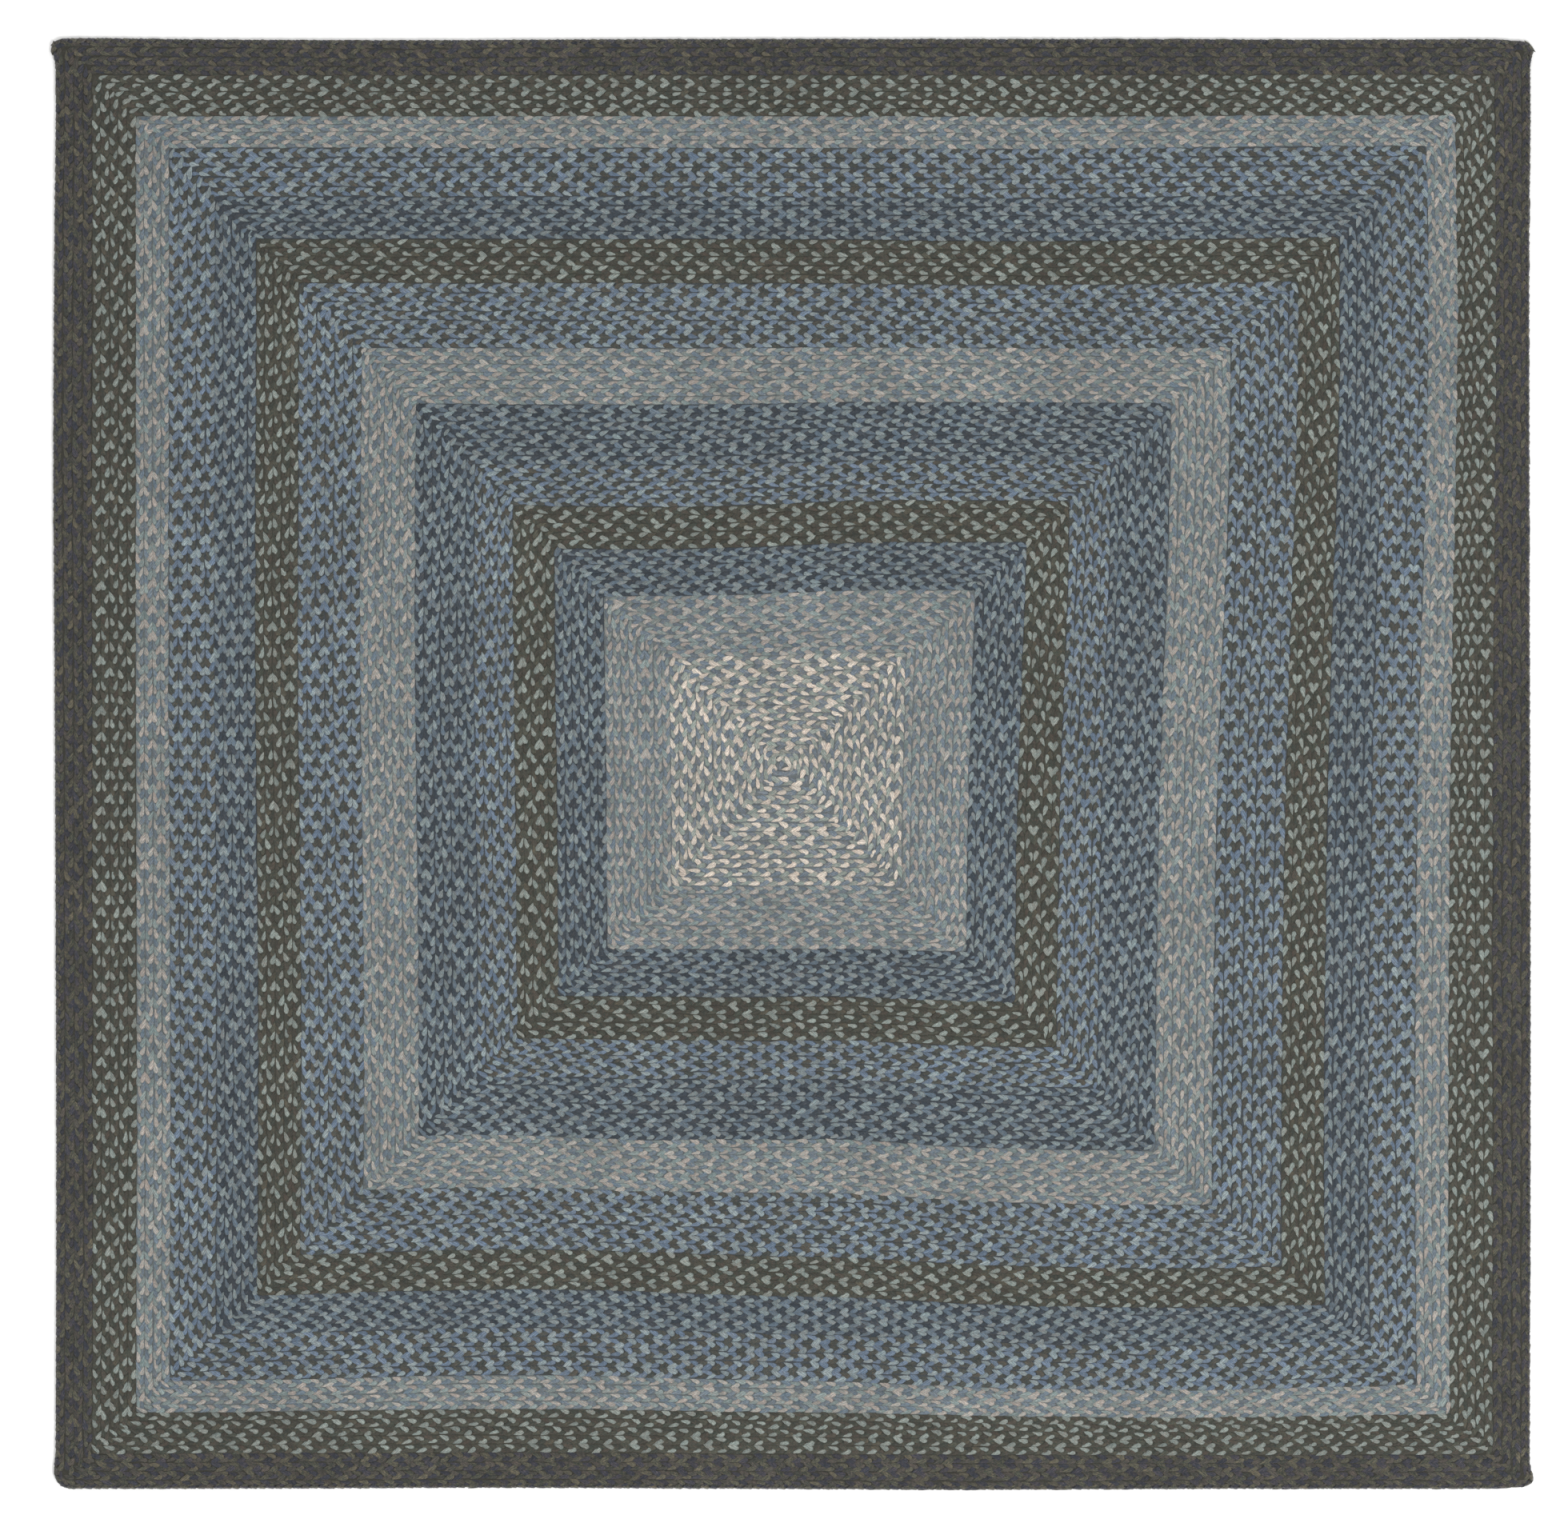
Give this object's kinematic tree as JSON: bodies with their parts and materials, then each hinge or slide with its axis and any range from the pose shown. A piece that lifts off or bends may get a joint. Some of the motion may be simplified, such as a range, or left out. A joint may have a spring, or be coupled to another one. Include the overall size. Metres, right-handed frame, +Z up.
{
  "type": "braided rug",
  "caption": "Flat square rug laced up from concentric rows of braid, which turn sharply at the corners round a small curled eye.",
  "frame": {"origin": "on the floor, under the middle of the rug", "axes": "+X to the rug's right edge, +Y to its back edge, +Z up from the floor through the rug"},
  "size_m": [2.4432, 2.4032, 0.011],
  "materials": {
    "braided_yarn": "matt wool-blend yarn in braided bands of olive, navy, slate blue, sage, rose beige and cream"
  },
  "bodies": {
    "root": {"braided_rug": "braided_yarn"}
  },
  "joints": []
}
